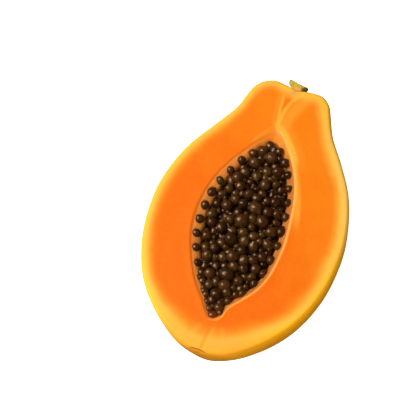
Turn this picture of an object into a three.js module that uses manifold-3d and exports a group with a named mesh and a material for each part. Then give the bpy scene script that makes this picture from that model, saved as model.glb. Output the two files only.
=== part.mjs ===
// Half of a ripe papaya, cut lengthwise through the stem and lying on its skin with the cut face up.
// Millimetres, +Z up, +Y towards the stem, origin under the middle of the half, on the surface it rests on.
import * as THREE from "three";
import { mergeVertices } from "three/addons/utils/BufferGeometryUtils.js";
import Module from "manifold-3d";

const wasm = await Module();
wasm.setup();

// ---- driving dimensions ----
const flatSpotDepth = 1.6; // how far the resting spot is flattened
const ribHeight = 0.7; // the five soft ribs that run from stem to tip
const fullness = 1.1; // how far the flanks swell beyond a round section
const swellFrom = 14; // the ribs and the swelling fade out nearer the axis than this

const cavityAxisX = -3; // the seed cavity sits a little to one side
const cavityMiddleY = 80;
const cavityDepthShare = 0.95; // depth of the cavity over its half width
const wallGap = 0.7; // between the seeds' bed and the cavity wall

const bedTopBelowCut = 5.9; // highest point of the bed that the loose seeds lie on
const bedDome = { halfWidth: 62, halfLength: 200, height: 42 };

const seedCount = 56;
const wallSeed = { smallest: 2.2, largest: 2.9, spacing: 9.2 }; // the row along the cavity's wall
const heapSeed = { smallest: 2.7, largest: 4 }; // the ones in the middle, which grow larger
const seedGap = 0.4; // between neighbouring seeds
const seedLift = 0.45; // between a seed and the bed
const mostTries = 40000; // for a place in the heap
const seedShape = [1, 0.9, 0.92]; // semi-axes over the seed's radius
const seedWallGap = 0.75; // between a seed and the wall beside it
const highestSeedY = 134; // the stem end of the cavity holds no seeds

const stubGap = 0.35; // between the stem stub and the fruit

// ---- outlines: distance from the fruit's axis, distance from the blossom end ----
const fruitRight = [
  [0, 169.4], [6.5, 169.9], [15.5, 168.4], [22.5, 160.5], [28, 147], [38.5, 132], [49, 113.5],
  [55, 92], [56.1, 76], [53.2, 53], [43.8, 31], [28, 13], [12.5, 2.6], [0, 0.2],
];
const fruitLeft = [
  [0, 169.4], [7, 170.4], [16.5, 171], [24.5, 165.7], [30, 151], [39, 137.5], [51.5, 117.5],
  [58.6, 96], [60, 80], [57.5, 57.5], [48.5, 34], [33, 15.3], [14, 2.4], [0, 0.2],
];
const fruitBelow = [
  [0, 169.4], [7, 170], [16, 169.2], [23.5, 162.5], [29, 149], [39, 134.5], [50.5, 115],
  [57, 94], [58.2, 78], [56.2, 54], [47.6, 30], [32, 11], [14.5, 0.6], [0, 0.2],
];
const cavityRight = [
  [0, 141], [5, 139], [12, 130.5], [19, 117], [23.5, 103], [26.3, 85], [26.7, 70], [23, 50],
  [15.5, 37], [7.8, 27.8], [6.2, 22.4], [3.2, 20], [0, 19.8],
];
const cavityLeft = [
  [0, 141], [6, 137], [13, 127.5], [20.5, 115.5], [26.8, 100.5], [29.3, 84.5], [28, 68.5],
  [22.5, 53], [15, 39], [7.5, 28.5], [3.8, 22.4], [0, 19.8],
];
const stubRight = [[0, 173], [3, 172.6], [5.6, 171.8], [6.2, 170.9], [5, 170.2], [0, 169.7]];
const stubLeft = [[0, 173], [3.2, 174.1], [5.4, 174.4], [6.4, 172.6], [5.2, 170.6], [0, 169.7]];

const fruitMaterial = new THREE.MeshStandardMaterial({ color: 0xf28a1e, roughness: 0.42, metalness: 0 });
const bedMaterial = new THREE.MeshStandardMaterial({ color: 0x2c1a0c, roughness: 0.35, metalness: 0 });
const seedMaterial = new THREE.MeshStandardMaterial({ color: 0x24120a, roughness: 0.25, metalness: 0 });
const stubMaterial = new THREE.MeshStandardMaterial({ color: 0x9a8a26, roughness: 0.75, metalness: 0 });

// ---- helpers ----
function smoothLine(knots, steps) {
  const curve = new THREE.CatmullRomCurve3(knots.map(([x, y]) => new THREE.Vector3(x, y, 0)), false, "centripetal");
  return curve.getSpacedPoints(steps);
}

// Turns the outlines about the fruit's axis, half way round with a flat top, or all the way round.
// The radius and the height change smoothly from the right outline, by the one below, to the left one.
function turnedBody({ right, left, below, steps, segments, depthShare = 1, swell = () => 0, half = true }) {
  const a = smoothLine(right, steps);
  const b = smoothLine(left, steps);
  const c = below && smoothLine(below, steps);
  const turn = half ? Math.PI : 2 * Math.PI;
  const point = (i, j) => {
    const angle = (turn * j) / segments;
    const profile = a[i].clone().lerp(b[i], (1 - Math.cos(angle)) / 2);
    if (c) profile.lerp(c[i], Math.sin(angle) ** 2);
    const radius = profile.x + swell(angle) * Math.min(1, profile.x / swellFrom);
    return [radius * Math.cos(angle), profile.y, -radius * Math.sin(angle) * depthShare];
  };
  const positions = [];
  const face = (...corners) => positions.push(...corners.flat());
  for (let i = 0; i < steps; i++) {
    for (let j = 0; j < segments; j++) {
      const [p, q, r, s] = [point(i, j), point(i + 1, j), point(i + 1, j + 1), point(i, j + 1)];
      if (i < steps - 1) face(p, q, r);
      if (i > 0) face(p, r, s);
    }
  }
  if (half) {
    const rim = [];
    for (let i = 0; i <= steps; i++) rim.push(point(i, 0));
    for (let i = steps - 1; i > 0; i--) rim.push(point(i, segments));
    const contour = rim.map(([x, y]) => new THREE.Vector2(x, y));
    for (const corners of THREE.ShapeUtils.triangulateShape(contour, [])) {
      if (THREE.ShapeUtils.isClockWise(corners.map((k) => contour[k]))) corners.reverse();
      face(...corners.map((k) => rim[k]));
    }
  }
  return new THREE.BufferGeometry().setAttribute("position", new THREE.Float32BufferAttribute(positions, 3));
}

function solidOf(geometry) {
  const bare = geometry.index ? geometry.toNonIndexed() : geometry.clone();
  bare.deleteAttribute("normal");
  bare.deleteAttribute("uv");
  const merged = mergeVertices(bare, 1e-3);
  return new wasm.Manifold(
    new wasm.Mesh({
      numProp: 3,
      vertProperties: merged.attributes.position.array,
      triVerts: new Uint32Array(merged.index.array),
    }),
  );
}

function geometryOf(solid) {
  const { numProp, vertProperties, triVerts } = solid.getMesh();
  const positions = [];
  for (const v of triVerts) positions.push(...vertProperties.subarray(v * numProp, v * numProp + 3));
  return new THREE.BufferGeometry().setAttribute("position", new THREE.Float32BufferAttribute(positions, 3));
}

function pointsOf(geometry) {
  const position = mergeVertices(geometry, 1e-3).getAttribute("position");
  return Array.from({ length: position.count }, (_, i) => new THREE.Vector3().fromBufferAttribute(position, i));
}

function nodeOf(name, geometry, material) {
  const mesh = new THREE.Mesh(geometry, material);
  mesh.name = name;
  return mesh;
}

// A repeatable random source, so that the seeds lie the same way each time.
function randomSource(state) {
  return () => {
    state = (Math.imul(state, 1664525) + 1013904223) >>> 0;
    return state / 2 ** 32;
  };
}

// ---- the fruit: skin and flesh are one grown piece, hollowed by the seed cavity ----
function cavityGeometry({ steps = 34, segments = 32 } = {}) {
  const outlines = { right: cavityRight, left: cavityLeft };
  const hollow = turnedBody({ ...outlines, steps, segments, depthShare: cavityDepthShare, half: false });
  return hollow.translate(cavityAxisX, 0, 0);
}

function makeFruit() {
  const swell = (angle) => ribHeight * Math.sin(5 * angle) + fullness * Math.sin(2 * angle) ** 2;
  const outlines = { right: fruitRight, left: fruitLeft, below: fruitBelow };
  const whole = turnedBody({ ...outlines, steps: 52, segments: 26, swell });
  whole.computeBoundingBox();
  const floorZ = whole.boundingBox.min.z + flatSpotDepth;
  const length = whole.boundingBox.max.y;
  const underFloor = new THREE.BoxGeometry(2 * length, 4 * length, length).translate(0, 0, floorZ - length / 2);
  const solid = solidOf(whole).subtract(solidOf(cavityGeometry())).subtract(solidOf(underFloor));
  return nodeOf("papaya_half", geometryOf(solid), fruitMaterial);
}

// ---- the lower seeds, joined into one bed that fills the cavity under the loose ones ----
function makeSeedBed() {
  const filling = cavityGeometry();
  filling.computeBoundingBox();
  const [width, length, depth] = filling.boundingBox.getSize(new THREE.Vector3()).toArray();
  filling
    .translate(-cavityAxisX, -cavityMiddleY, 0)
    .scale(1 - (2 * wallGap) / width, 1 - (2 * wallGap) / length, 1 - (2 * wallGap) / depth)
    .translate(cavityAxisX, cavityMiddleY, 0);
  const dome = new THREE.SphereGeometry(1, 40, 28)
    .scale(bedDome.halfWidth, bedDome.halfLength, bedDome.height)
    .translate(cavityAxisX, cavityMiddleY, -bedTopBelowCut - bedDome.height);
  return nodeOf("seed_bed", geometryOf(solidOf(filling).intersect(solidOf(dome))), bedMaterial);
}

function bedHeight(x, y) {
  const across = (x - cavityAxisX) / bedDome.halfWidth;
  const along = (y - cavityMiddleY) / bedDome.halfLength;
  return -bedTopBelowCut - bedDome.height * (1 - Math.sqrt(1 - across ** 2 - along ** 2));
}

// ---- the loose seeds on top, each its own piece: a row along the wall, then the heap between ----
function placeSeeds(random) {
  const [right, left] = [smoothLine(cavityRight, 120), smoothLine(cavityLeft, 120)];
  const rim = [...right, ...left.slice(1, -1).reverse().map((p) => new THREE.Vector3(-p.x, p.y, 0))];
  const wall = pointsOf(cavityGeometry({ steps: 90, segments: 60 })).filter((p) => p.z < 0);
  const between = ({ smallest, largest }, share) => THREE.MathUtils.lerp(smallest, largest, share);
  const placed = [];

  // Lays a seed on the bed, if it is clear there of the wall and of the other seeds.
  const place = (x, y, radius) => {
    const centre = new THREE.Vector3(x, y, bedHeight(x, y) + seedLift + radius);
    const fits =
      y < highestSeedY &&
      placed.every((seed) => seed.centre.distanceTo(centre) > seed.radius + radius + seedGap) &&
      wall.every((p) => p.distanceTo(centre) > radius + seedWallGap);
    if (fits) placed.push({ centre, radius });
    return fits;
  };

  let walked = wallSeed.spacing;
  rim.forEach((p, i) => {
    const next = rim[(i + 1) % rim.length];
    const step = next.distanceTo(p);
    walked += step;
    if (walked < wallSeed.spacing) return;
    const radius = between(wallSeed, random());
    const inwards = new THREE.Vector3(next.y - p.y, p.x - next.x, 0).divideScalar(step);
    for (let away = radius + seedWallGap; away < 2.5 * radius + seedWallGap; away += 0.15) {
      if (place(cavityAxisX + p.x + inwards.x * away, p.y + inwards.y * away, radius)) {
        walked = 0;
        return;
      }
    }
  });

  for (let tries = 0; placed.length < seedCount && tries < mostTries; tries++) {
    const y = THREE.MathUtils.lerp(right.at(-1).y, highestSeedY, random());
    const across = 2 * random() - 1;
    const halfWidth = (across < 0 ? left : right).find((p) => p.y <= y).x;
    place(cavityAxisX + halfWidth * across, y, between(heapSeed, random() * (1 - 0.65 * Math.abs(across))));
  }
  return placed;
}

function makeSeeds() {
  const random = randomSource(41);
  return placeSeeds(random).map(({ centre, radius }, index) => {
    const [a, b, c] = seedShape.map((share) => share * radius);
    const seed = nodeOf(
      `seed_${String(index + 1).padStart(2, "0")}`,
      new THREE.IcosahedronGeometry(1, 1).scale(a, b, c),
      seedMaterial,
    );
    seed.position.copy(centre);
    seed.rotation.set(random() * Math.PI, random() * Math.PI, random() * Math.PI);
    return seed;
  });
}

// ---- the halved stump of the fruit's stalk, in the dip between the shoulders ----
function makeStemStub() {
  const stub = turnedBody({ right: stubRight, left: stubLeft, steps: 14, segments: 12 });
  return nodeOf("stem_stub", stub.translate(0, stubGap, 0), stubMaterial);
}

const papaya = new THREE.Group();
papaya.name = "papaya";
papaya.add(makeFruit(), makeSeedBed(), ...makeSeeds(), makeStemStub());

// The outlines measure from the blossom end and the cut face: move them to the part's own origin.
const box = new THREE.Box3().setFromObject(papaya);
const middle = box.getCenter(new THREE.Vector3());
papaya.position.set(-middle.x, -middle.y, -box.min.z);

export default papaya;
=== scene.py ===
import math
import random

import bmesh
import bpy
import numpy as np
from mathutils import Euler, Matrix, Vector, kdtree, noise


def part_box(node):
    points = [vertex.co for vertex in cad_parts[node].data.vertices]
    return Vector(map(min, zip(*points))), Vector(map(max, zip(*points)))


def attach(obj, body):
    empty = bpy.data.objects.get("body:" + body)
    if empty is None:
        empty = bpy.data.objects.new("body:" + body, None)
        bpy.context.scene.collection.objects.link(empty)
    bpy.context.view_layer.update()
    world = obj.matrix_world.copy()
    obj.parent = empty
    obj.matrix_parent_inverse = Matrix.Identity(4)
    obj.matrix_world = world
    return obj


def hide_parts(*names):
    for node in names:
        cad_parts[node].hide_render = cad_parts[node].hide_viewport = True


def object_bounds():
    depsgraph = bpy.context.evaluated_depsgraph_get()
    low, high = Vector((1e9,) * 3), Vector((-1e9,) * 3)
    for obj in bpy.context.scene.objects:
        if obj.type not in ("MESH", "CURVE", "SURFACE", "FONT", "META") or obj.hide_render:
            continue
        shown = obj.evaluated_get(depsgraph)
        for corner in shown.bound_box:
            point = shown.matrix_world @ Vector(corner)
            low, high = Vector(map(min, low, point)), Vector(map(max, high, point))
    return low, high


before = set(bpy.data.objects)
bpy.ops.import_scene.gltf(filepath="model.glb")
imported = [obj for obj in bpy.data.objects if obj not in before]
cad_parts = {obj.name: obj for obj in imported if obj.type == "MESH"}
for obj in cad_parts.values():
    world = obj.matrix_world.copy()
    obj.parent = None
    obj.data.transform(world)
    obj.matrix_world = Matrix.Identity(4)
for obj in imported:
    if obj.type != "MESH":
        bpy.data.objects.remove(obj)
cadLow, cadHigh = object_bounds()
print("frame loaded:", len(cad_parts), "nodes")

mm = 0.001
halfLow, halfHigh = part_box("papaya_half")

# Outlines are lists of (distance from the axis, distance from the blossom end) in millimetres
papayaHalf = {
    "right": [(0, 169.4), (6.5, 170.3), (15, 169.7), (20.5, 165.4), (23.4, 159), (28.9, 146.5), (38.5, 132),
              (49, 113.5), (55, 92), (56.1, 76), (53.2, 53), (43.8, 31), (28, 13), (12.5, 2.6), (0, 0.2)],
    "left": [(0, 169.4), (7.5, 171.4), (13.5, 172.5), (18, 171.8), (22.3, 169.5), (25.7, 165.8),
             (28.0, 160), (31, 150.5), (39, 137.5), (51.5, 117.5), (58.6, 96), (60, 80), (57.5, 57.5), (48.5, 34), (33, 15.3), (14, 2.4), (0, 0.2)],
    "below": [(0, 169.4), (7, 170), (16, 169.2), (23.5, 162.5), (29, 149), (39, 134.5), (50.5, 115),
              (57, 94), (58.2, 78), (56.2, 54), (47.6, 30), (32, 11), (14.5, 0.6), (0, 0.2)],
    "ribHeight": 0.7,
    "fullness": 1.1,
    "swellFrom": 14,  # ribs and swelling fade out nearer the axis than this
    "formSteps": 170,
    "formTurns": 110,
    "segments": 480,  # round the rim
    "skinRings": 60,
    "faceRings": 27,
    "stretch": 1.5,  # packs the segments closer towards the two ends
    "rimRound": 1.25,  # soft edge between the cut face and the skin
    "lipRound": 0.45,  # soft edge of the seed cavity
    "floorSoftness": 0.8,  # how gently the skin flattens where it rests
    "skinWave": (0.35, 24),  # height and size of the skin's slow unevenness
    "faceWave": (0.16, 11),
    "faceGrain": (0.045, 2.6),
    "rimDroop": (1.5, 2.3),  # the flesh falls away this much, this near the rim
    "lipSwell": (0.28, 1.4),
}
seedCavity = {
    "right": [(0, 141), (3.2, 139.3), (9.4, 132), (13.8, 126), (19.4, 115.5), (23.5, 103), (26.3, 85),
              (27, 73), (26, 60), (24, 51), (20.3, 43), (14.9, 36.2), (8.2, 28.2), (6.8, 23.2), (4.2, 20.4),
              (0, 19.8)],
    "left": [(0, 141), (5.2, 136), (10.4, 130), (14.6, 124.2), (20.4, 115.3), (26.8, 100.5), (29.3, 84.5),
             (28, 68.5), (22.5, 53), (15, 39), (7.2, 29.2), (2.8, 22.8), (0, 19.8)],
    "axisX": -3,
    "middleY": 80,
    "depthShare": 0.95,
    "wallRings": 34,
    "wallWave": (0.5, 9),
    "shoulder": (6.2, 3.6, 22),  # the wall leans in this much, within this depth, and straightens again
}


def smoothLine(knots, steps):
    # evenly spaced points along a smooth line through the knots
    points = [Vector(knot) for knot in knots]
    points = [2 * points[0] - points[1], *points, 2 * points[-1] - points[-2]]
    fine = []
    for a, b, c, d in zip(points, points[1:], points[2:], points[3:]):
        t1 = (b - a).length ** 0.5
        t2 = t1 + (c - b).length ** 0.5
        t3 = t2 + (d - c).length ** 0.5
        for step in range(24):
            t = t1 + (t2 - t1) * step / 24
            ab = a.lerp(b, t / t1)
            bc = b.lerp(c, (t - t1) / (t2 - t1))
            cd = c.lerp(d, (t - t2) / (t3 - t2))
            fine.append(ab.lerp(bc, t / t2).lerp(bc.lerp(cd, (t - t1) / (t3 - t1)), (t - t1) / (t2 - t1)))
    fine.append(points[-2])
    walked = [0.0]
    for a, b in zip(fine, fine[1:]):
        walked.append(walked[-1] + (b - a).length)
    even, k = [], 0
    for step in range(steps + 1):
        want = walked[-1] * step / steps
        while k < len(fine) - 2 and walked[k + 1] < want:
            k += 1
        even.append(fine[k].lerp(fine[k + 1], (want - walked[k]) / max(walked[k + 1] - walked[k], 1e-9)))
    return even


def smoothStep(value, start, end):
    share = min(1.0, max(0.0, (value - start) / (end - start)))
    return share * share * (3 - 2 * share)


def pick(obj, *others):
    bpy.ops.object.select_all(action="DESELECT")
    for each in (obj, *others):
        each.select_set(True)
    bpy.context.view_layer.objects.active = obj
    return obj


def editing(obj, mode="VERT"):
    pick(obj)
    bpy.ops.object.mode_set(mode="EDIT")
    bpy.ops.mesh.select_mode(type=mode)
    bpy.ops.mesh.select_all(action="DESELECT")


def doneEditing():
    bpy.ops.object.mode_set(mode="OBJECT")


def settle(obj):
    # puts the piece's place into its mesh
    pick(obj)
    bpy.ops.object.transform_apply(location=True, rotation=True, scale=True)


# where the outlines' own zero lies: on the axis, at the blossom end, on the cut face
outlineZero = Vector((
    halfLow.x + max(p.x for p in smoothLine(papayaHalf["left"], 400)) * mm,
    halfLow.y - min(p.y for p in smoothLine(papayaHalf["below"], 400)) * mm,
    halfHigh.z,
))
cavityMiddle = outlineZero + Vector((seedCavity["axisX"], seedCavity["middleY"], 0)) * mm


def ribSwell(angle):
    return papayaHalf["ribHeight"] * math.sin(5 * angle) + papayaHalf["fullness"] * math.sin(2 * angle) ** 2


def turnedForm(name, shape, axisX=0, depthShare=1.0, swell=lambda angle: 0):
    # a flat grid wrapped round the fruit's axis, a little past the cut on both sides
    steps, turns, past = papayaHalf["formSteps"], papayaHalf["formTurns"], 0.12
    right, left = smoothLine(shape["right"], steps), smoothLine(shape["left"], steps)
    below = smoothLine(shape["below"], steps) if "below" in shape else None
    bpy.ops.mesh.primitive_grid_add(x_subdivisions=turns, y_subdivisions=steps, size=2)
    form = bpy.context.object
    form.name = name
    for v in form.data.vertices:
        angle = -past + (math.pi + 2 * past) * (v.co.x + 1) / 2
        i = round((v.co.y + 1) / 2 * steps)
        profile = right[i].lerp(left[i], (1 - math.cos(angle)) / 2)
        if below:
            profile = profile.lerp(below[i], math.sin(angle) ** 2)
        radius = profile.x + swell(angle) * min(1, profile.x / papayaHalf["swellFrom"])
        place = Vector((axisX + radius * math.cos(angle), profile.y, -radius * math.sin(angle) * depthShare))
        v.co = outlineZero + place * mm
    bpy.context.view_layer.update()
    return form


def bowlOn(form, name, rings):
    # the lower half of a sphere, each point pushed out to the form
    bpy.ops.mesh.primitive_uv_sphere_add(
        segments=papayaHalf["segments"], ring_count=2 * rings, radius=10 * mm, location=cavityMiddle)
    bowl = bpy.context.object
    bowl.name = name
    editing(bowl)
    bpy.ops.mesh.select_all(action="SELECT")
    bpy.ops.transform.resize(value=(1, papayaHalf["stretch"], 1))
    bpy.ops.mesh.bisect(plane_co=cavityMiddle, plane_no=(0, 0, 1), clear_outer=True, threshold=1e-6)
    doneEditing()
    settle(bowl)
    for v in bowl.data.vertices:
        direction = v.co - cavityMiddle
        if abs(direction.z) < 1e-6:
            direction.z = 0
        hit, place = form.ray_cast(cavityMiddle, direction)[:2]
        if hit:
            v.co = place
        else:
            print("missed the form at", tuple(direction))
    return bowl


def edgesBetween(obj, first, second):
    # leaves selected only the edges where these two finishes meet
    editing(obj, "EDGE")
    mesh = bmesh.from_edit_mesh(obj.data)
    for edge in mesh.edges:
        edge.select = {face.material_index for face in edge.link_faces} == {first, second}
    bmesh.update_edit_mesh(obj.data)


def makePapayaHalf():
    fruitForm = turnedForm("fruitForm", papayaHalf, swell=ribSwell)
    cavityForm = turnedForm("cavityForm", seedCavity, seedCavity["axisX"], seedCavity["depthShare"])
    half = bowlOn(fruitForm, "papayaHalf", papayaHalf["skinRings"])
    wall = bowlOn(cavityForm, "cavityWall", seedCavity["wallRings"])
    for obj, finish in ((half, 0), (wall, 2)):
        for material in (skin, flesh, cavityLining):
            obj.data.materials.append(material)
        for polygon in obj.data.polygons:
            polygon.material_index = finish
    pick(half, wall)
    bpy.ops.object.join()

    # the cut face: the open rim is drawn in until it meets the cavity's lip
    editing(half, "EDGE")
    mesh = bmesh.from_edit_mesh(half.data)
    for edge in mesh.edges:
        edge.select = edge.is_boundary and edge.link_faces[0].material_index == 0
    bmesh.update_edit_mesh(half.data)
    bpy.ops.mesh.extrude_edges_move()
    mesh = bmesh.from_edit_mesh(half.data)
    for v in mesh.verts:
        if v.select:
            direction = v.co - cavityMiddle
            direction.z = 0
            v.co = cavityForm.ray_cast(cavityMiddle, direction)[1]
    bpy.ops.mesh.select_all(action="SELECT")
    bpy.ops.mesh.remove_doubles(threshold=1e-6)
    bpy.ops.mesh.normals_make_consistent(inside=False)
    doneEditing()
    for polygon in half.data.polygons:
        if abs(polygon.center.z - halfHigh.z) < 1e-6:
            polygon.material_index = 1
    for first, rounding, segments in ((0, "rimRound", 5), (2, "lipRound", 3)):
        edgesBetween(half, first, 1)
        bpy.ops.mesh.bevel(offset=papayaHalf[rounding] * mm, segments=segments, profile=0.5, material=1)
        doneEditing()

    editing(half, "EDGE")
    mesh = bmesh.from_edit_mesh(half.data)
    for edge in mesh.edges:
        level = all(abs(v.co.z - halfHigh.z) < 1e-6 for v in edge.verts)
        edge.select = level and edge.calc_length() > 5 * mm
    bmesh.update_edit_mesh(half.data)
    bpy.ops.mesh.subdivide(number_cuts=papayaHalf["faceRings"])
    bpy.ops.mesh.select_all(action="SELECT")
    bpy.ops.mesh.normals_make_consistent(inside=False)
    doneEditing()
    return half, fruitForm, cavityForm


def closest(line):
    # finds how far a point on the cut face is from a line on it
    tree = kdtree.KDTree(len(line))
    for i, p in enumerate(line):
        tree.insert((p.x, p.y, 0), i)
    tree.balance()
    return lambda x, y: tree.find((x, y, 0))[2]


def closedLine(shape, axisX=0):
    right, left = smoothLine(shape["right"], 900), smoothLine(shape["left"], 900)
    sides = [Vector((p.x, p.y)) for p in right] + [Vector((-p.x, p.y)) for p in reversed(left)]
    return [p + Vector((axisX, 0)) for p in sides]


def wave(place, size, seed=0.0):
    return noise.noise(place / (size * mm) + Vector((seed, seed, seed)))


def shapeSurface(half):
    # slow unevenness, the drooping rim and the lip of the cavity; keeps the distances for the finishes
    toRim, toLip = closest(closedLine(papayaHalf)), closest(closedLine(seedCavity, seedCavity["axisX"]))
    side = ["flesh"] * len(half.data.vertices)
    for polygon in half.data.polygons:
        if polygon.material_index != 1:
            for i in polygon.vertices:
                side[i] = "skin" if polygon.material_index == 0 else "wall"
    fromRim, fromLip = [], []
    normals = [v.normal.copy() for v in half.data.vertices]
    for v, normal in zip(half.data.vertices, normals):
        place = v.co - outlineZero
        x, y = place.x / mm, place.y / mm
        rim, lip = toRim(x, y), toLip(x, y)
        if side[v.index] == "flesh":
            height, size = papayaHalf["faceWave"]
            fine, fineSize = papayaHalf["faceGrain"]
            droop, droopSize = papayaHalf["rimDroop"]
            swell, swellSize = papayaHalf["lipSwell"]
            settled = smoothStep(rim, 0, 2) * smoothStep(lip, 0, 1)
            rise = (height * wave(v.co, size) + fine * wave(v.co, fineSize)) * settled
            rise += swell * math.exp(-((lip - 1) / swellSize) ** 2) - droop * math.exp(-rim / droopSize)
            v.co.z += rise * mm
            fromRim.append(rim)
            fromLip.append(lip)
        elif side[v.index] == "skin":
            height, size = papayaHalf["skinWave"]
            near = smoothStep(-place.z / mm, 1, 9)
            v.co += normal * height * near * wave(v.co, size, 7) * mm
            v.co.z -= papayaHalf["rimDroop"][0] * (1 - smoothStep(-place.z / mm, 0, 6)) * mm
            fromRim.append(place.z / mm)
            fromLip.append(50)
        else:
            height, size = seedCavity["wallWave"]
            lean, soon, deep = seedCavity["shoulder"]
            depth = max(0.0, -place.z / mm)
            near = smoothStep(depth, 0.5, 4)
            inward = cavityMiddle - v.co
            inward.z = 0
            lean = min(lean, inward.length / mm * 0.25) * (1 - math.exp(-depth / soon))
            v.co += inward.normalized() * lean * math.exp(-((depth / deep) ** 2)) * mm
            stretched = Vector((v.co.x, v.co.y, v.co.z * 0.45))
            v.co += normal * height * near * (wave(stretched, size, 3) + 0.5 * wave(stretched, size / 3, 5)) * mm
            fromRim.append(50)
            fromLip.append(place.z / mm)
        soft = papayaHalf["floorSoftness"] * mm
        above = v.co.z - halfLow.z
        v.co.z = halfLow.z + (above + math.sqrt(above * above + soft * soft)) / 2
    for name, values in (("fromRim", fromRim), ("fromLip", fromLip)):
        half.data.attributes.new(name, "FLOAT", "POINT").data.foreach_set("value", values)


# ---- small tools for the finishes ----
def addNode(tree, kind, values=None, **settings):
    node = tree.nodes.new("ShaderNode" + kind)
    for name, value in settings.items():
        setattr(node, name, value)
    for socket, value in (values or {}).items():
        if isinstance(value, bpy.types.NodeSocket):
            tree.links.new(value, node.inputs[socket])
        else:
            node.inputs[socket].default_value = value
    return node


def maths(tree, operation, a, b=0.0, c=0.0):
    return addNode(tree, "Math", {0: a, 1: b, 2: c}, operation=operation).outputs[0]


def fade(tree, value, start, end, low=0.0, high=1.0):
    values = {"Value": value, "From Min": start, "From Max": end, "To Min": low, "To Max": high}
    return addNode(tree, "MapRange", values, interpolation_type="SMOOTHSTEP").outputs["Result"]


def blendColors(tree, share, a, b, kind="MIX"):
    node = addNode(tree, "Mix", {0: share, 6: a, 7: b}, data_type="RGBA", blend_type=kind)
    return node.outputs[2]


def cloud(tree, coords, scale, detail=3.0, roughness=0.55):
    values = {"Vector": coords, "Scale": scale, "Detail": detail, "Roughness": roughness}
    return addNode(tree, "TexNoise", values).outputs[0]


def colorsAlong(tree, value, stops, smooth="EASE"):
    node = addNode(tree, "ValToRGB", {0: value})
    ramp = node.color_ramp
    ramp.interpolation = smooth
    while len(ramp.elements) < len(stops):
        ramp.elements.new(1)
    for element, (position, color) in zip(ramp.elements, stops):
        element.position = position
        element.color = (*color, 1)
    return node.outputs[0]


def newGroup(name, inputs, outputs):
    group = bpy.data.node_groups.new(name, "ShaderNodeTree")
    for socket, (kind, value) in inputs.items():
        made = group.interface.new_socket(socket, in_out="INPUT", socket_type="NodeSocket" + kind)
        if value is not None:
            made.default_value = value
    for socket, kind in outputs.items():
        group.interface.new_socket(socket, in_out="OUTPUT", socket_type="NodeSocket" + kind)
    return group, group.nodes.new("NodeGroupInput").outputs, group.nodes.new("NodeGroupOutput").inputs


def placeGroup(tree, group, values):
    node = tree.nodes.new("ShaderNodeGroup")
    node.node_tree = group
    for socket, value in values.items():
        if isinstance(value, bpy.types.NodeSocket):
            tree.links.new(value, node.inputs[socket])
        else:
            node.inputs[socket].default_value = value
    return node.outputs


def newFinish(name, **sockets):
    material = bpy.data.materials.new(name)
    material.use_nodes = True
    tree = material.node_tree
    shader = tree.nodes["Principled BSDF"]
    for socket, value in sockets.items():
        shader.inputs[socket.replace("_", " ")].default_value = value
    coords = tree.nodes.new("ShaderNodeTexCoord").outputs["Object"]
    return material, tree, shader, coords


# a pale bundle of fibres from one point to another, bowed a little to one side
def makeFibreGroup():
    group, inside, out = newGroup(
        "fibreBundle",
        {"Position": ("Vector", None), "From": ("Vector", None), "To": ("Vector", None),
         "Bow": ("Float", 0.0), "Width": ("Float", 0.001)},
        {"Mask": "Float"})

    def vector(operation, a, b=(0, 0, 0)):
        return addNode(group, "VectorMath", {0: a, 1: b}, operation=operation)

    along = vector("SUBTRACT", inside["To"], inside["From"]).outputs[0]
    away = vector("SUBTRACT", inside["Position"], inside["From"]).outputs[0]
    length = vector("LENGTH", along).outputs["Value"]
    share = maths(group, "DIVIDE", vector("DOT_PRODUCT", away, along).outputs["Value"],
                  maths(group, "MULTIPLY", length, length))
    crossed = addNode(group, "SeparateXYZ", {0: vector("CROSS_PRODUCT", along, away).outputs[0]}).outputs[2]
    sideways = maths(group, "DIVIDE", crossed, length)
    bowed = maths(group, "MULTIPLY", maths(group, "MULTIPLY", share, maths(group, "SUBTRACT", 1.0, share)), 4.0)
    off = maths(group, "ABSOLUTE", maths(group, "SUBTRACT", sideways, maths(group, "MULTIPLY", bowed, inside["Bow"])))
    core = fade(group, maths(group, "DIVIDE", off, inside["Width"]), 0.15, 1.0, 1.0, 0.0)
    starts = fade(group, share, -0.06, 0.22)
    ends = fade(group, share, 0.78, 1.06, 1.0, 0.0)
    mask = maths(group, "MULTIPLY", maths(group, "MULTIPLY", starts, ends), core)
    group.links.new(mask, out["Mask"])
    return group


# wet grain: a soft mottle for the colour, an uneven gloss and a fine bumpy normal
def makeWetGrainGroup():
    group, inside, out = newGroup(
        "wetGrain",
        {"Position": ("Vector", None), "Mottle Size": ("Float", 0.012), "Grain Size": ("Float", 0.001),
         "Low Gloss": ("Float", 0.3), "High Gloss": ("Float", 0.5), "Bump": ("Float", 0.0002)},
        {"Mottle": "Float", "Roughness": "Float", "Normal": "Vector"})
    mottle = cloud(group, inside["Position"], maths(group, "DIVIDE", 1.0, inside["Mottle Size"]), 2.0)
    grain = cloud(group, inside["Position"], maths(group, "DIVIDE", 1.0, inside["Grain Size"]), 4.0, 0.6)
    gloss = addNode(group, "MapRange", {
        "Value": maths(group, "ADD", maths(group, "MULTIPLY", mottle, 0.5), maths(group, "MULTIPLY", grain, 0.5)),
        "From Min": 0.35, "From Max": 0.65, "To Min": inside["Low Gloss"], "To Max": inside["High Gloss"]})
    bump = addNode(group, "Bump", {"Strength": 1.0, "Distance": inside["Bump"], "Height": grain})
    group.links.new(fade(group, mottle, 0.3, 0.7), out["Mottle"])
    group.links.new(gloss.outputs[0], out["Roughness"])
    group.links.new(bump.outputs[0], out["Normal"])
    return group


def onFace(x, y):
    return tuple(outlineZero + Vector((x, y, 0)) * mm)


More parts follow.
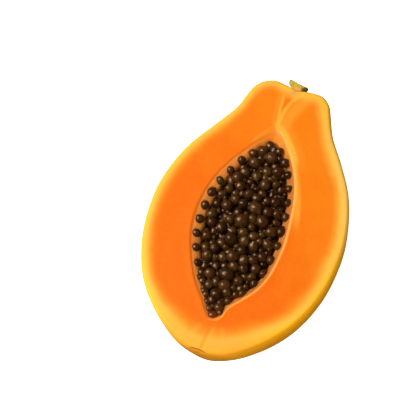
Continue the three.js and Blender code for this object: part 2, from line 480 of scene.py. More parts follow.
fleshLook = {
    "fromRim": [  # share of two band widths, colour
        (0.0, (0.95, 0.455, 0.007)), (0.04, (0.87, 0.445, 0.020)), (0.12, (0.78, 0.430, 0.046)),
        (0.20, (0.74, 0.385, 0.050)), (0.30, (0.70, 0.290, 0.032)), (0.40, (0.68, 0.210, 0.015)),
        (0.52, (0.66, 0.150, 0.006)), (0.68, (0.65, 0.118, 0.004)),
    ],
    # the next colour is painted light laid over the neck and the right side
    "light": (0.67, 0.172, 0.005),
    "fibre": (0.70, 0.385, 0.048),
    "lip": (0.74, 0.370, 0.085),
    "peach": (0.68, 0.255, 0.040),
    "cream": (0.82, 0.520, 0.120),
    "lemon": (0.92, 0.640, 0.030),
    "green": (0.34, 0.260, 0.010),
    "grain": (0.70, 0.185, 0.009),
    "bandWidth": 9.0,
    "fibres": [  # from, to, bow, width and strength, in millimetres on the cut face
        ((-6.6, 166.5), (-3.6, 142), -0.3, 1.5, 0.60),
        ((-8.0, 167), (-5.0, 141), -0.6, 3.4, 0.16),
        ((-2.5, 157.5), (-3.1, 139.0), -0.5, 2.0, 0.65),
        ((7.6, 169.6), (-3.1, 152.0), -2.2, 1.9, 0.60),
        ((10.5, 168), (-0.5, 141), -2.2, 6.0, 0.34),
        ((-5.5, 145.5), (15.5, 119.5), 2.6, 3.4, 0.90),
        ((-2.0, 146), (18.0, 119), 2.6, 6.0, 0.16),
        ((9.5, 128.5), (27.0, 84), 2.4, 3.2, 0.55),
        ((-4.4, 143), (-14.5, 129), -1.2, 2.0, 0.2),
        ((2.4, 17), (0.2, -1.0), -0.3, 1.4, 0.32),
        ((6.2, 18), (9.5, 3), 0.6, 2.6, 0.16),
        ((-5.4, 17), (-9.8, 4.5), -0.6, 2.4, 0.16),
        ((-12, 13), (-19, 6), 0.4, 2.2, 0.18),
    ],
    "grooves": [
        ((-0.7, 15.0), (-2.2, -1.5), 0.3, 1.4, 0.36),
        ((-1.2, 163.5), (-4.3, 151.5), -0.9, 1.6, 0.40),
    ],
    "grooveTint": (0.60, 0.118, 0.002),
    "creases": [((-8.2, 1.5), (2.2, 0.9), 0.3, 0.6, 0.85)],
    "creaseTint": (0.26, 0.085, 0.004),
    "stubCore": [  # middle, reach, colour, strength
        ((-1.0, 166.3), 4.2, (0.66, 0.30, 0.085), 0.75),
        ((-1.2, 169.4), 3.0, (0.52, 0.36, 0.060), 0.80),
    ],
}


def makeFlesh(fibreBundle, wetGrain):
    material, tree, shader, coords = newFinish(
        "papayaFlesh", IOR=1.24, Subsurface_Weight=0.12, Subsurface_Radius=(0.0040, 0.0014, 0.0004),
        Subsurface_Scale=1.0, Specular_Tint=(1, 0.62, 0.30, 1))
    wet = placeGroup(tree, wetGrain, {
        "Position": coords, "Mottle Size": 0.016, "Grain Size": 0.0013,
        "Low Gloss": 0.36, "High Gloss": 0.52, "Bump": 0.00007})
    fromRim = addNode(tree, "Attribute", attribute_name="fromRim").outputs["Fac"]
    fromLip = addNode(tree, "Attribute", attribute_name="fromLip").outputs["Fac"]

    # the pale band is wide at the blossom end and narrow along the sides
    spot = addNode(tree, "SeparateXYZ", {0: coords}).outputs
    blossom = fade(tree, spot[1], outlineZero.y, outlineZero.y + 38 * mm, 2.0, 1.0)
    sideways = fade(tree, spot[0], cavityMiddle.x - 30 * mm, cavityMiddle.x + 30 * mm, 0.82, 1.08)
    wander = maths(tree, "MULTIPLY_ADD", cloud(tree, coords, 60.0, 4.0), 0.6, 0.7)
    width = maths(tree, "MULTIPLY", maths(tree, "MULTIPLY", blossom, wander), fleshLook["bandWidth"])
    width = maths(tree, "MULTIPLY", width, sideways)
    share = maths(tree, "DIVIDE", fromRim, width)
    color = colorsAlong(tree, maths(tree, "MULTIPLY", share, 0.5), fleshLook["fromRim"], "CARDINAL")
    pinker = fade(tree, spot[1], outlineZero.y + 4 * mm, outlineZero.y + 30 * mm, 0.55, 0.0)
    pinker = maths(tree, "MULTIPLY", pinker, fade(tree, share, 0.25, 0.6, 1.0, 0.0))
    color = blendColors(tree, pinker, color, (*fleshLook["peach"], 1))
    rightRim = maths(tree, "MULTIPLY", fade(tree, share, 0.1, 0.6, 0.75, 0.0),
                     fade(tree, spot[0], cavityMiddle.x + 18 * mm, cavityMiddle.x + 46 * mm))
    rightRim = maths(tree, "MULTIPLY", rightRim, fade(tree, spot[1], cavityMiddle.y - 25 * mm, cavityMiddle.y + 25 * mm))
    color = blendColors(tree, rightRim, color, (*fleshLook["cream"], 1))
    leftRim = maths(tree, "MULTIPLY", fade(tree, share, 0.0, 0.24, 0.75, 0.0),
                    fade(tree, spot[0], cavityMiddle.x - 45 * mm, cavityMiddle.x - 12 * mm, 1.0, 0.0))
    color = blendColors(tree, leftRim, color, (*fleshLook["lemon"], 1))
    greenSide = fade(tree, maths(tree, "SUBTRACT", spot[1], spot[0]), -20 * mm, 35 * mm, 0.0, 0.7)
    greenLine = maths(tree, "MULTIPLY", fade(tree, fromRim, 0.0, 0.5, 1.0, 0.0), greenSide)
    color = blendColors(tree, greenLine, color, (*fleshLook["green"], 1))
    # painted light: lighter in the neck and along the right side
    rightward = maths(tree, "SUBTRACT", spot[0], cavityMiddle.x)
    upward = maths(tree, "SUBTRACT", spot[1], cavityMiddle.y)
    sunny = maths(tree, "ADD", maths(tree, "MULTIPLY", rightward, 9.0), maths(tree, "MULTIPLY", upward, 10.0))
    sunny = maths(tree, "ADD", sunny, maths(tree, "MULTIPLY", wet["Mottle"], 0.30))
    color = blendColors(tree, fade(tree, sunny, -0.1, 0.95), color, (*fleshLook["light"], 1), "LIGHTEN")

    fine = fade(tree, cloud(tree, coords, 520.0, 3.0, 0.65), 0.42, 0.66, 0.0, 0.16)
    color = blendColors(tree, fine, color, (*fleshLook["grain"], 1), "LIGHTEN")

    # fibre bundles in the neck, round the tip of the cavity and below it
    marks = [(mark, fleshLook["fibre"]) for mark in fleshLook["fibres"]]
    marks += [(mark, fleshLook["grooveTint"]) for mark in fleshLook["grooves"]]
    marks += [(mark, fleshLook["creaseTint"]) for mark in fleshLook["creases"]]
    for (start, end, bow, wide, strength), tint in marks:
        mask = placeGroup(tree, fibreBundle, {
            "Position": coords, "From": onFace(*start), "To": onFace(*end), "Bow": bow * mm, "Width": wide * mm})
        color = blendColors(tree, maths(tree, "MULTIPLY", mask["Mask"], strength), color, (*tint, 1))

    # the pale, greenish core under the stem stub
    for middle, reach, tint, strength in fleshLook["stubCore"]:
        away = addNode(tree, "VectorMath", {0: coords, 1: onFace(*middle)}, operation="DISTANCE").outputs["Value"]
        away = maths(tree, "ADD", away, maths(tree, "MULTIPLY", cloud(tree, coords, 420.0, 2.0), reach * 0.7 * mm))
        inside = fade(tree, away, reach * 0.45 * mm, reach * 1.35 * mm, strength, 0.0)
        color = blendColors(tree, inside, color, (*tint, 1))

    # the thin pale line round the cavity, partly its own pale edge and partly a painted highlight, strongest on the
    # right
    rightSide = fade(tree, spot[0], cavityMiddle.x - 10 * mm, cavityMiddle.x + 14 * mm, 0.08, 1.0)
    paleLipAndHighlight = maths(tree, "MULTIPLY", fade(tree, fromLip, 0.2, 1.1, 1.0, 0.0), rightSide)
    color = blendColors(tree, maths(tree, "MULTIPLY", paleLipAndHighlight, 0.8), color, (*fleshLook["lip"], 1))
    tree.links.new(color, shader.inputs["Base Color"])
    tree.links.new(wet["Roughness"], shader.inputs["Roughness"])
    tree.links.new(wet["Normal"], shader.inputs["Normal"])
    return material


skinLook = {
    "gold": (0.92, 0.430, 0.004),
    "amber": (0.88, 0.330, 0.003),
    "lemon": (0.74, 0.510, 0.008),
    "olive": (0.46, 0.370, 0.012),
    # painted light under the rim, then the thin green rind, then painted shade lower on the skin
    "sunlit": (1.0, 0.540, 0.006),
    "rind": (0.26, 0.170, 0.008),
    "russet": (0.40, 0.155, 0.003),
    "speck": (0.12, 0.13, 0.03),
    "scar": (0.20, 0.085, 0.012),
}


def makeSkin(wetGrain):
    material, tree, shader, coords = newFinish(
        "papayaSkin", IOR=1.14, Subsurface_Weight=0.06, Subsurface_Radius=(0.002, 0.001, 0.0003),
        Subsurface_Scale=1.0, Specular_Tint=(1, 0.80, 0.40, 1))
    waxy = placeGroup(tree, wetGrain, {
        "Position": coords, "Mottle Size": 0.024, "Grain Size": 0.0011,
        "Low Gloss": 0.30, "High Gloss": 0.44, "Bump": 0.00006})
    spot = addNode(tree, "SeparateXYZ", {0: coords}).outputs
    towardsStem = fade(tree, spot[1], outlineZero.y + 30 * mm, outlineZero.y + 165 * mm)
    color = blendColors(tree, waxy["Mottle"], (*skinLook["gold"], 1), (*skinLook["amber"], 1))
    ripening = maths(tree, "ADD", maths(tree, "MULTIPLY", towardsStem, 0.6),
                     maths(tree, "MULTIPLY", cloud(tree, coords, 34.0, 3.0), 0.8))
    color = blendColors(tree, fade(tree, ripening, 0.45, 0.95), color, (*skinLook["lemon"], 1))
    patches = fade(tree, maths(tree, "ADD", cloud(tree, coords, 85.0, 4.0, 0.65),
                               maths(tree, "MULTIPLY", towardsStem, 0.14)), 0.56, 0.74, 0.0, 0.6)
    color = blendColors(tree, patches, color, (*skinLook["olive"], 1))

    # painted light just under the rim, painted shade (redder and darker) lower down, and a thin green rind along the
    # upper half
    fromRim = addNode(tree, "Attribute", attribute_name="fromRim").outputs["Fac"]
    color = blendColors(tree, fade(tree, fromRim, -7.0, -0.5, 0.0, 0.6), color, (*skinLook["sunlit"], 1))
    color = blendColors(tree, fade(tree, fromRim, -15.0, -3.0, 0.40, 0.0), color, (*skinLook["russet"], 1))
    upperHalf = fade(tree, spot[1], cavityMiddle.y, cavityMiddle.y + 45 * mm, 0.0, 0.8)
    rind = maths(tree, "MULTIPLY", fade(tree, fromRim, -2.4, -0.5), upperHalf)
    color = blendColors(tree, rind, color, (*skinLook["rind"], 1))

    # tiny breathing pores, thinned out by a slow noise
    pores = addNode(tree, "TexVoronoi", {"Vector": coords, "Scale": 420.0, "Randomness": 1.0}).outputs["Distance"]
    where = fade(tree, cloud(tree, coords, 160.0, 1.0), 0.46, 0.6)
    speck = maths(tree, "MULTIPLY", fade(tree, pores, 0.10, 0.24, 1.0, 0.0), where)
    color = blendColors(tree, maths(tree, "MULTIPLY", speck, 0.6), color, (*skinLook["speck"], 1))

    # the corky scar where the flower was
    blossomEnd = (outlineZero.x - 3.5 * mm, outlineZero.y + 0.5 * mm, outlineZero.z - 1.0 * mm)
    reach = addNode(tree, "VectorMath", {0: coords, 1: blossomEnd}, operation="DISTANCE").outputs["Value"]
    ragged = maths(tree, "ADD", reach, maths(tree, "MULTIPLY", cloud(tree, coords, 900.0, 2.0), 0.003))
    color = blendColors(tree, fade(tree, ragged, 0.0025, 0.005, 0.85, 0.0), color, (*skinLook["scar"], 1))
    tree.links.new(color, shader.inputs["Base Color"])
    tree.links.new(waxy["Roughness"], shader.inputs["Roughness"])
    tree.links.new(waxy["Normal"], shader.inputs["Normal"])
    return material


liningLook = {
    # the lining lightens just below the lip, then darkens deeper down: painted shade under the seeds
    "down": [  # share of 14 mm below the cut, colour
        (0.0, (0.54, 0.120, 0.008)), (0.05, (0.66, 0.180, 0.022)), (0.28, (0.74, 0.270, 0.055)),
        (0.46, (0.50, 0.180, 0.036)), (0.65, (0.08, 0.024, 0.004)),
    ],
    "pale": (0.66, 0.260, 0.060),
    # painted light for the left wall and painted shade for the right wall
    "sunny": (1.0, 0.370, 0.085),
    "shaded": (0.36, 0.115, 0.030),
    # painted light in the tip of the cavity
    "tip": (0.78, 0.240, 0.020),
}


def makeLining(wetGrain):
    material, tree, shader, coords = newFinish(
        "cavityLining", IOR=1.36, Subsurface_Weight=0.6, Subsurface_Radius=(0.0070, 0.0024, 0.0006),
        Subsurface_Scale=1.0, Specular_Tint=(1, 0.70, 0.45, 1))
    wet = placeGroup(tree, wetGrain, {
        "Position": coords, "Mottle Size": 0.006, "Grain Size": 0.0016,
        "Low Gloss": 0.22, "High Gloss": 0.42, "Bump": 0.00025})
    fromLip = addNode(tree, "Attribute", attribute_name="fromLip").outputs["Fac"]
    # painted shade: the colour darkens with depth below the lip
    color = colorsAlong(tree, maths(tree, "DIVIDE", fromLip, -14.0), liningLook["down"], "LINEAR")
    patches = maths(tree, "MULTIPLY", wet["Mottle"], fade(tree, fromLip, -8.0, -3.0, 0.0, 0.4))
    color = blendColors(tree, patches, color, (*liningLook["pale"], 1))
    spot = addNode(tree, "SeparateXYZ", {0: coords}).outputs
    # painted light on the left wall and painted shade on the right wall, just below the lip
    shallow = fade(tree, fromLip, -7.0, -4.0, 0.0, 0.6)
    belowLip = maths(tree, "MULTIPLY", shallow, fade(tree, fromLip, -0.9, -0.3, 1.0, 0.0))
    leftSide = fade(tree, spot[0], cavityMiddle.x - 14 * mm, cavityMiddle.x, 1.0, 0.0)
    rightSide = fade(tree, spot[0], cavityMiddle.x, cavityMiddle.x + 14 * mm)
    for side, tint in ((leftSide, "sunny"), (rightSide, "shaded")):
        color = blendColors(tree, maths(tree, "MULTIPLY", belowLip, side), color, (*liningLook[tint], 1))
    # painted light at the cavity's tip, where the wall falls into shade
    tipPaintedLight = fade(tree, spot[1], outlineZero.y + 120 * mm, outlineZero.y + 135 * mm, 0.0, 0.65)
    color = blendColors(tree, tipPaintedLight, color, (*liningLook["tip"], 1))
    tree.links.new(color, shader.inputs["Base Color"])
    tree.links.new(wet["Roughness"], shader.inputs["Roughness"])
    tree.links.new(wet["Normal"], shader.inputs["Normal"])
    return material


seedLook = {
    "dark": (0.012, 0.0040, 0.0006),
    "brown": (0.044, 0.0160, 0.0022),
    "olive": (0.062, 0.0310, 0.0055),
    "red": (0.115, 0.0190, 0.0025),
}


def makeSeedCoat(wetGrain):
    material, tree, shader, coords = newFinish(
        "seedJelly", IOR=1.46, Specular_Tint=(1, 0.58, 0.36, 1), Coat_Weight=0.5, Coat_Roughness=0.2,
        Coat_IOR=1.40, Coat_Tint=(1, 0.9, 0.8, 1))
    wet = placeGroup(tree, wetGrain, {
        "Position": coords, "Mottle Size": 0.0030, "Grain Size": 0.0011,
        "Low Gloss": 0.22, "High Gloss": 0.46, "Bump": 0.00016})
    tone = addNode(tree, "Attribute", attribute_name="seedTone").outputs["Fac"]
    color = colorsAlong(tree, tone, [
        (0.0, seedLook["dark"]), (0.5, seedLook["brown"]), (0.85, seedLook["olive"]),
        (1.0, seedLook["red"])], "LINEAR")
    color = blendColors(tree, maths(tree, "MULTIPLY", wet["Mottle"], 0.5), color, (*seedLook["dark"], 1))
    tree.links.new(color, shader.inputs["Base Color"])
    tree.links.new(wet["Roughness"], shader.inputs["Roughness"])
    tree.links.new(wet["Normal"], shader.inputs["Normal"])
    return material


stubLook = {
    "straw": (0.52, 0.40, 0.035),
    "moss": (0.30, 0.24, 0.020),
    "bark": (0.055, 0.040, 0.004),
    "root": (0.64, 0.330, 0.070),
}


def makeStubFinish(wetGrain):
    material, tree, shader, coords = newFinish("stemFibre", IOR=1.45)
    dry = placeGroup(tree, wetGrain, {
        "Position": coords, "Mottle Size": 0.003, "Grain Size": 0.0006,
        "Low Gloss": 0.6, "High Gloss": 0.85, "Bump": 0.0003})
    low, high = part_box("stem_stub")
    spot = addNode(tree, "SeparateXYZ", {0: coords}).outputs
    across = addNode(tree, "MapRange", {"Value": spot[0], "From Min": low.x, "From Max": high.x}).outputs[0]
    streaks = cloud(tree, addNode(tree, "Mapping", {"Vector": coords, "Scale": (1, 0.16, 1)}).outputs[0], 1500.0)
    color = blendColors(tree, fade(tree, streaks, 0.38, 0.62), (*stubLook["straw"], 1), (*stubLook["moss"], 1))
    ragged = maths(tree, "MULTIPLY", dry["Mottle"], 0.2)
    upwards = addNode(tree, "MapRange", {"Value": spot[1], "From Min": low.y, "From Max": high.y}).outputs[0]
    rooted = fade(tree, maths(tree, "SUBTRACT", upwards, ragged), -0.15, 0.35, 0.85, 0.0)
    color = blendColors(tree, rooted, color, (*stubLook["root"], 1))
    rightEnd = fade(tree, maths(tree, "ADD", across, ragged), 0.74, 0.98)
    color = blendColors(tree, rightEnd, color, (*stubLook["bark"], 1))
    leftTip = maths(tree, "SUBTRACT", maths(tree, "ADD", upwards, ragged), maths(tree, "MULTIPLY", across, 2.5))
    color = blendColors(tree, fade(tree, leftTip, 0.55, 0.85, 0.0, 0.8), color, (*stubLook["bark"], 1))
    tree.links.new(color, shader.inputs["Base Color"])
    tree.links.new(dry["Roughness"], shader.inputs["Roughness"])
    tree.links.new(dry["Normal"], shader.inputs["Normal"])
    return material


fibreBundle, wetGrain = makeFibreGroup(), makeWetGrainGroup()
flesh, skin, cavityLining = makeFlesh(fibreBundle, wetGrain), makeSkin(wetGrain), makeLining(wetGrain)
seedCoat, stubFinish = makeSeedCoat(wetGrain), makeStubFinish(wetGrain)
print("finishes made")

half, fruitForm, cavityForm = makePapayaHalf()
shapeSurface(half)
pick(half)
bpy.ops.object.shade_smooth()
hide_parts("papaya_half")
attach(half, "root")
bpy.context.view_layer.update()
print("papaya half made:", len(half.data.polygons), "faces")


# ---- seeds ----
seeds = {
    "forms": 5,  # differently lumpy seeds to copy from
    "swollen": 1.16,  # the wet jelly makes them this much bigger
    "outOfWall": 0.6,  # how far a seed on the wall stands out of it, in radii
    "leftOut": 1.0,  # and how far those on the left lie nearer the lip
    "belowTip": 2.4,  # and those in the tip nearer the middle
    "lump": 0.26,
    "wrinkle": 0.10,
    "nub": 0.22,
    "hero": 4,  # subdivisions of a loose seed, of one in the heap and of a deep one
    "heap": 3,
    "deep": 2,
}
seedHeap = {
    "upper": 126,
    "lower": 100,
    "unripe": 150,
    "upperRadius": (1.7, 3.7),
    "lowerRadius": (2.3, 3.2),
    "unripeRadius": (0.7, 1.45),
    "bareWall": (5.2, 6.8),  # the strip of wall left open on the left and on the right
    "relax": 70,
    "squeeze": 0.93,  # neighbours may press into each other's jelly this much
    "below": 5.9,  # the bed's highest point under the cut face
    "dome": (62, 200, 42),  # half width, half length and height
    "middle": 80,
    "pouch": [  # seeds in the narrow end: x, y, height, radius and tone
        (-1.7, 23.0, -2.4, 3.0, 1.0), (-5.0, 26.3, -2.8, 2.5, 0.8), (1.7, 25.5, -3.0, 2.4, 0.9),
        (-7.7, 30.0, -3.0, 2.5, 0.5), (-10.0, 33.8, -3.2, 2.4, 0.7), (-12.6, 37.6, -3.4, 2.4, 0.4),
        (-14.8, 41.4, -3.6, 2.5, 0.6), (-17.0, 45.8, -3.8, 2.3, 0.3),
    ],
}


def seedForm(name, subdivisions, seed):
    # an egg with a small nub where its thread held it, made lumpy and finely wrinkled
    bpy.ops.mesh.primitive_ico_sphere_add(subdivisions=subdivisions, radius=1)
    form = bpy.context.object
    form.name = name
    editing(form)
    mesh = bmesh.from_edit_mesh(form.data)
    for v in mesh.verts:
        v.select = v.co.z > 0.9
    bmesh.update_edit_mesh(form.data)
    bpy.ops.transform.translate(value=(0, 0, seeds["nub"]))
    bpy.ops.transform.resize(value=(0.7, 0.7, 1), center_override=(0, 0, 1))
    doneEditing()
    for size, strength in ((1.1, seeds["lump"]), (0.42, seeds["wrinkle"])):
        texture = bpy.data.textures.new(name + "Clouds", "CLOUDS")
        texture.noise_scale = size
        anchor = bpy.data.objects.new(name + "Anchor", None)
        bpy.context.scene.collection.objects.link(anchor)
        anchor.location = (3.1 * seed, 1.7 * seed, 0)
        bpy.context.view_layer.update()
        lumps = form.modifiers.new("lumps", "DISPLACE")
        lumps.texture, lumps.texture_coords, lumps.texture_coords_object = texture, "OBJECT", anchor
        lumps.strength, lumps.mid_level = strength, 0.5
        pick(form)
        bpy.ops.object.modifier_apply(modifier=lumps.name)
        bpy.data.objects.remove(anchor)
    return form


def seedCopy(form, name, centre, radius, tone, chance):
    obj = bpy.data.objects.new(name, form.data.copy())
    bpy.context.scene.collection.objects.link(obj)
    turn = Euler([chance.uniform(0, 2 * math.pi) for axis in range(3)])
    size = Vector((chance.uniform(0.95, 1.0), chance.uniform(0.86, 0.95), chance.uniform(0.92, 1.04))) * radius
    obj.data.transform(Matrix.LocRotScale(centre, turn, size))
    obj.data.attributes.new("seedTone", "FLOAT", "POINT").data.foreach_set("value", [tone] * len(obj.data.vertices))
    obj.data.materials.clear()
    obj.data.materials.append(seedCoat)
    for polygon in obj.data.polygons:
        polygon.use_smooth = True
    return obj


def makeLooseSeeds():
    chance = random.Random(12)
    forms = [seedForm(f"looseSeedForm{i}", seeds["hero"], i) for i in range(seeds["forms"])]
    loose = []
    for node in sorted(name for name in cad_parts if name.startswith("seed_") and name != "seed_bed"):
        low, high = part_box(node)
        centre, radius = (low + high) / 2, sum(high - low) / 6 * seeds["swollen"]
        tone = chance.uniform(0.1, 0.75)
        hit, ground = half.ray_cast(centre + Vector((0, 0, 40 * mm)), (0, 0, -1))[:2]
        if hit and ground.z > centre.z - 2.5 * radius:
            up = (centre.y - outlineZero.y) / mm
            if centre.x < cavityMiddle.x:
                outward = (centre - cavityMiddle).normalized() * seeds["leftOut"] * (1 - smoothStep(up, 90, 115))
                centre += Vector((outward.x, outward.y, 0)) * mm
            centre.y -= seeds["belowTip"] * smoothStep(up, 118, 130) * mm
            standing = min(ground.z + seeds["outOfWall"] * radius, halfHigh.z + 0.3 * mm - radius)
            centre.z = max(centre.z, standing)
        if centre.y < outlineZero.y + 27 * mm:
            tone = 1.0
        seed = seedCopy(chance.choice(forms), "papaya" + node.title().replace("_", ""), centre, radius, tone, chance)
        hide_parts(node)
        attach(seed, "root")
        loose.append((centre, radius))
    for form in forms:
        bpy.data.objects.remove(form)
    return loose


def bedHeight(x, y):
    wide, long, tall = seedHeap["dome"]
    share = ((x - seedCavity["axisX"]) / wide) ** 2 + ((y - seedHeap["middle"]) / long) ** 2
    return -seedHeap["below"] - tall * (1 - math.sqrt(1 - min(share, 1)))


def heapReach(y):
    # how far the heap spreads left and right of the cavity's axis at this height
    def at(line, bare):
        wide = next((p.x for p in line if p.y <= y), 0)
        return max(wide - min(bare, 0.35 * wide) * smoothStep(y, 24, 50), 0)
    return at(cavityLeft, seedHeap["bareWall"][0]), at(cavityRight, seedHeap["bareWall"][1])


def restingHeap(loose):
    # more seeds scattered over the bed and pushed apart until they lie between the loose ones
    chance = random.Random(5)
    fixed = [((centre - outlineZero) / mm, radius / mm) for centre, radius in loose]
    places, sizes, wanted = [], [], []
    for layer in ("upper", "lower"):
        small, large = seedHeap[layer + "Radius"]
        for each in range(seedHeap[layer]):
            y = chance.uniform(22, 130)
            left, right = heapReach(y)
            radius = chance.uniform(small, large)
            x = seedCavity["axisX"] + chance.uniform(-left, right)
            depth = chance.uniform(-0.3, 1.2) * radius if layer == "upper" else -1.1 * radius
            places.append((x, y, bedHeight(x, y) + depth))
            sizes.append(radius)
            wanted.append(depth)
    at, size = np.array(places), np.array(sizes)
    fixedAt = np.array([tuple(p) for p, r in fixed])
    fixedSize = np.array([r for p, r in fixed])
    for turn in range(seedHeap["relax"]):
        for others, otherSize, share in ((at, size, 0.5), (fixedAt, fixedSize, 1.0)):
            gap = at[:, None, :] - others[None, :, :]
            far = np.linalg.norm(gap, axis=2) + 1e-6
            press = np.maximum(0, (size[:, None] + otherSize[None, :]) * seedHeap["squeeze"] - far)
            if others is at:
                np.fill_diagonal(press, 0)
            push = (gap / far[:, :, None] * press[:, :, None] * share).sum(axis=1)
            at = at + 0.45 * push
        for i in range(len(at)):
            x, y = at[i, 0], min(max(at[i, 1], 21.5), 129.5)
            left, right = heapReach(y)
            axisX = seedCavity["axisX"]
            x = min(max(x, axisX - max(left - size[i], 0)), axisX + max(right - size[i], 0))
            z = 0.8 * at[i, 2] + 0.2 * (bedHeight(x, y) + wanted[i])
            top = bedHeight(x, y) + 1.3 * size[i]
            at[i] = (x, y, min(z, top))
            place = outlineZero + Vector(at[i].tolist()) * mm
            hit, wallPlace, facing = half.closest_point_on_mesh(place)[:3]
            clear = (place - wallPlace).dot(facing)
            if hit and clear < size[i] * 0.8 * mm:
                at[i] = tuple((place + facing * (size[i] * 0.8 * mm - clear) - outlineZero) / mm)
    return at, size


pulp = {
    "across": 90,
    "along": 230,
    "sunk": 1.3,  # under the middle of the seeds
    "thickness": 1.2,
    "waves": ((0.9, 4.2), (0.35, 2.0), (0.06, 0.9)),
    "tone": 0.2,
}


def makePulp():
    # the dark jelly that the seeds stand in
    bpy.ops.mesh.primitive_grid_add(x_subdivisions=pulp["across"], y_subdivisions=pulp["along"], size=2)
    jelly = bpy.context.object
    jelly.name = "pulp"
    for v in jelly.data.vertices:
        y = 80.4 + 59 * v.co.y
        left, right = (next((p.x for p in line if p.y <= y), 0) * 0.94 for line in (cavityLeft, cavityRight))
        x = seedCavity["axisX"] + (v.co.x * right if v.co.x > 0 else v.co.x * left)
        place = outlineZero + Vector((x, y, bedHeight(x, y) - pulp["sunk"])) * mm
        rise = sum(height * wave(place, size, 9 + size) for height, size in pulp["waves"])
        v.co = place + Vector((0, 0, rise * mm))
    body = jelly.modifiers.new("body", "SOLIDIFY")
    body.thickness, body.offset = pulp["thickness"] * mm, -1
    pick(jelly)
    bpy.ops.object.modifier_apply(modifier=body.name)
    tones = [pulp["tone"]] * len(jelly.data.vertices)
    jelly.data.attributes.new("seedTone", "FLOAT", "POINT").data.foreach_set("value", tones)
    jelly.data.materials.append(seedCoat)
    for polygon in jelly.data.polygons:
        polygon.use_smooth = True
    return jelly


def makeSeedHeap(loose):
    chance = random.Random(8)
    heapForms = [seedForm(f"heapSeedForm{i}", seeds["heap"], 10 + i) for i in range(seeds["forms"])]
    deepForm = seedForm("deepSeedForm", seeds["deep"], 20)
    at, size = restingHeap(loose)
    parts = []
    for i in range(len(at)):
        upper = i < seedHeap["upper"]
        centre = outlineZero + Vector(at[i].tolist()) * mm
        tone = chance.uniform(0.1, 0.85) if upper else chance.uniform(0.0, 0.5)
        form = chance.choice(heapForms) if upper else deepForm
        parts.append(seedCopy(form, "heapSeed", centre, size[i] * mm, tone, chance))
    for x, y, z, radius, tone in seedHeap["pouch"]:
        centre = outlineZero + Vector((x, y, z)) * mm
        parts.append(seedCopy(chance.choice(heapForms), "pouchSeed", centre, radius * mm, tone, chance))
    # unripe seeds and shrivelled scraps in the gaps
    small, large = seedHeap["unripeRadius"]
    for each in range(seedHeap["unripe"]):
        y = chance.uniform(24, 130)
        left, right = heapReach(y)
        x = seedCavity["axisX"] + chance.uniform(-left, right)
        radius = chance.uniform(small, large)
        centre = outlineZero + Vector((x, y, bedHeight(x, y) + chance.uniform(0.2, 3.2))) * mm
        parts.append(seedCopy(deepForm, "unripeSeed", centre, radius * mm, chance.uniform(0.5, 0.9), chance))
    heap = makePulp()
    pick(heap, *parts)
    bpy.ops.object.join()
    heap.name = "seedHeap"
    for form in (*heapForms, deepForm):
        bpy.data.objects.remove(form)
    return heap


cavityRight, cavityLeft = smoothLine(seedCavity["right"], 300), smoothLine(seedCavity["left"], 300)
loose = makeLooseSeeds()
heap = makeSeedHeap(loose)
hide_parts("seed_bed")
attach(heap, "root")
for form in (fruitForm, cavityForm):
    bpy.data.objects.remove(form)
print("seeds laid:", len(loose), "loose and a heap of", len(heap.data.polygons), "faces")


# ---- stem stub ----
stemStub = {
    "right": [(0, 172.9), (3, 172.5), (5.8, 171.7), (6.4, 170.9), (4.6, 169.8), (0, 168.4)],
    "left": [(0, 172.9), (3.4, 174.2), (5.6, 174.6), (6.4, 172.8), (5.0, 170.6), (0, 168.4)],
    "middleY": 171.2,
    "segments": 96,
    "rings": 24,
    "fibre": (0.45, 0.9),
    "flute": 0.12,
}


def makeStemStub():
    stubForm = turnedForm("stubForm", stemStub)
    middle = outlineZero + Vector((0, stemStub["middleY"], 0)) * mm
    bpy.ops.mesh.primitive_uv_sphere_add(
        segments=stemStub["segments"], ring_count=2 * stemStub["rings"], radius=3 * mm, location=middle)
    stub = bpy.context.object
    stub.name = "stemStub"
    settle(stub)
    for v in stub.data.vertices:
        # the lower half goes out to the form, the upper half lies flat inside its rim
        direction = v.co - middle
        flat = max(direction.z, 0) / direction.length
        direction.z = min(direction.z, 0)
        if direction.length < 1e-5:
            v.co = middle
            continue
        place = stubForm.ray_cast(middle, direction)[1]
        v.co = middle.lerp(place, math.sqrt(1 - flat * flat))
    height, size = stemStub["fibre"]
    for v, normal in zip(stub.data.vertices, [v.normal.copy() for v in stub.data.vertices]):
        strands = Vector((v.co.x, v.co.y * 0.12, v.co.z))
        torn = wave(strands, size, 3) + 0.5 * wave(strands, size * 0.45, 8)
        share = smoothStep((v.co.y - outlineZero.y) / mm, 170.2, 171.4)
        v.co.y += height * torn * share * mm
        if v.co.z > halfHigh.z - 0.1 * mm:
            v.co.z += (0.35 * torn - 0.30) * mm * share
        else:
            v.co += normal * stemStub["flute"] * torn * mm
    bpy.data.objects.remove(stubForm)
    stub.data.materials.append(stubFinish)
    pick(stub)
    bpy.ops.object.shade_smooth_by_angle(angle=math.radians(45))
    return stub


stub = makeStemStub()
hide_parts("stem_stub")
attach(stub, "root")
print("stem stub made")

# ---- studio ----
studio = {
    "azimuth": 38.9013,
    "elevation": 65.06,
    "roll": 21.0116,
    "lens": 150,
    "distance": 0.961,
    "lookAt": (-29.91, -0.75),  # on the level of the cut face, in millimetres
    "floor": (0.93, 0.93, 0.925),
    "floorGlow": 0.85,  # lifts the floor's shadows, as white paper lit from below
    "floorBounce": (0.26, 0.21, 0.13),  # but it throws less light back on the fruit
    "room": 0.12,
    "roomTint": (1, 0.88, 0.70),
    "backdrop": 0.9,  # what the camera itself sees of the room
    "lights": [  # left, up and towards the camera, size, distance, strength, colour, seen in gloss
        ((0.70, 0.42, 0.60), 0.73, 1.2, 16.8, (1, 0.92, 0.80), True),
        ((0.75, 0.30, 0.75), 1.1, 1.2, 5.0, (1, 0.94, 0.86), True),
        ((-0.38, -0.34, 0.90), 1.0, 1.3, 10.4, (1, 0.91, 0.78), False),
    ],
}


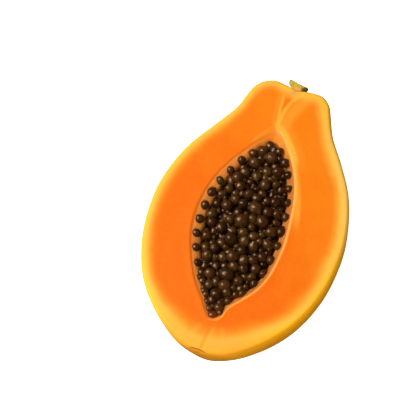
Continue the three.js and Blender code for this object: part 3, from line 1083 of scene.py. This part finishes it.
def makeStudio():
    bpy.ops.mesh.primitive_plane_add(size=6)
    floor = bpy.context.object
    floor.name = "paperFloor"
    material, tree, shader, coords = newFinish(
        "palePaper", Roughness=0.9, Emission_Color=(1, 1, 1, 1), Emission_Strength=studio["floorGlow"])
    tint = blendColors(tree, cloud(tree, coords, 3.0), (*studio["floor"], 1), (0.95, 0.95, 0.95, 1))
    tree.links.new(tint, shader.inputs["Base Color"])
    bounce = addNode(tree, "BsdfDiffuse", {"Color": (*studio["floorBounce"], 1)}).outputs[0]
    seen = addNode(tree, "LightPath").outputs["Is Camera Ray"]
    paper = addNode(tree, "MixShader", {0: seen, 1: bounce, 2: shader.outputs[0]}).outputs[0]
    tree.links.new(paper, tree.nodes["Material Output"].inputs["Surface"])
    floor.data.materials.append(material)

    world = bpy.data.worlds.new("softRoom")
    world.use_nodes = True
    tree = world.node_tree
    room, tint = tree.nodes["Background"], (*studio["roomTint"], 1)
    room.inputs["Color"].default_value, room.inputs["Strength"].default_value = tint, studio["room"]
    backdrop = addNode(tree, "Background", {"Color": (1, 1, 1, 1), "Strength": studio["backdrop"]}).outputs[0]
    seen = addNode(tree, "LightPath").outputs["Is Camera Ray"]
    shown = addNode(tree, "MixShader", {0: seen, 1: room.outputs[0], 2: backdrop}).outputs[0]
    tree.links.new(shown, tree.nodes["World Output"].inputs["Surface"])
    bpy.context.scene.world = world

    a, e, r = (math.radians(studio[key]) for key in ("azimuth", "elevation", "roll"))
    back = Vector((math.sin(a) * math.cos(e), -math.cos(a) * math.cos(e), math.sin(e)))
    right = (-back).cross(Vector((0, 0, 1))).normalized()
    up = right.cross(-back)
    right, up = math.cos(r) * right - math.sin(r) * up, math.cos(r) * up + math.sin(r) * right
    x, y = studio["lookAt"]
    target = Vector((x * mm, y * mm, halfHigh.z))
    camera = bpy.data.objects.new("camera", bpy.data.cameras.new("camera"))
    camera.data.lens = studio["lens"]
    camera.data.clip_start = 0.05
    turn = Matrix((right, up, back)).transposed()
    camera.matrix_world = Matrix.Translation(target + back * studio["distance"]) @ turn.to_4x4()
    bpy.context.scene.collection.objects.link(camera)
    bpy.context.scene.camera = camera

    middle = (cadLow + cadHigh) / 2
    for i, ((left, above, near), size, distance, strength, tint, glossy) in enumerate(studio["lights"]):
        towards = (-left * right + above * up + near * back).normalized()
        lamp = bpy.data.lights.new(f"softbox{i}", "AREA")
        lamp.size, lamp.energy, lamp.color = size, strength, tint
        box = bpy.data.objects.new(f"softbox{i}", lamp)
        box.location = middle + towards * distance
        box.rotation_euler = towards.to_track_quat("Z", "Y").to_euler()
        box.visible_glossy = glossy
        bpy.context.scene.collection.objects.link(box)
    bpy.context.scene.view_settings.view_transform = "Standard"


makeStudio()
print("studio set")
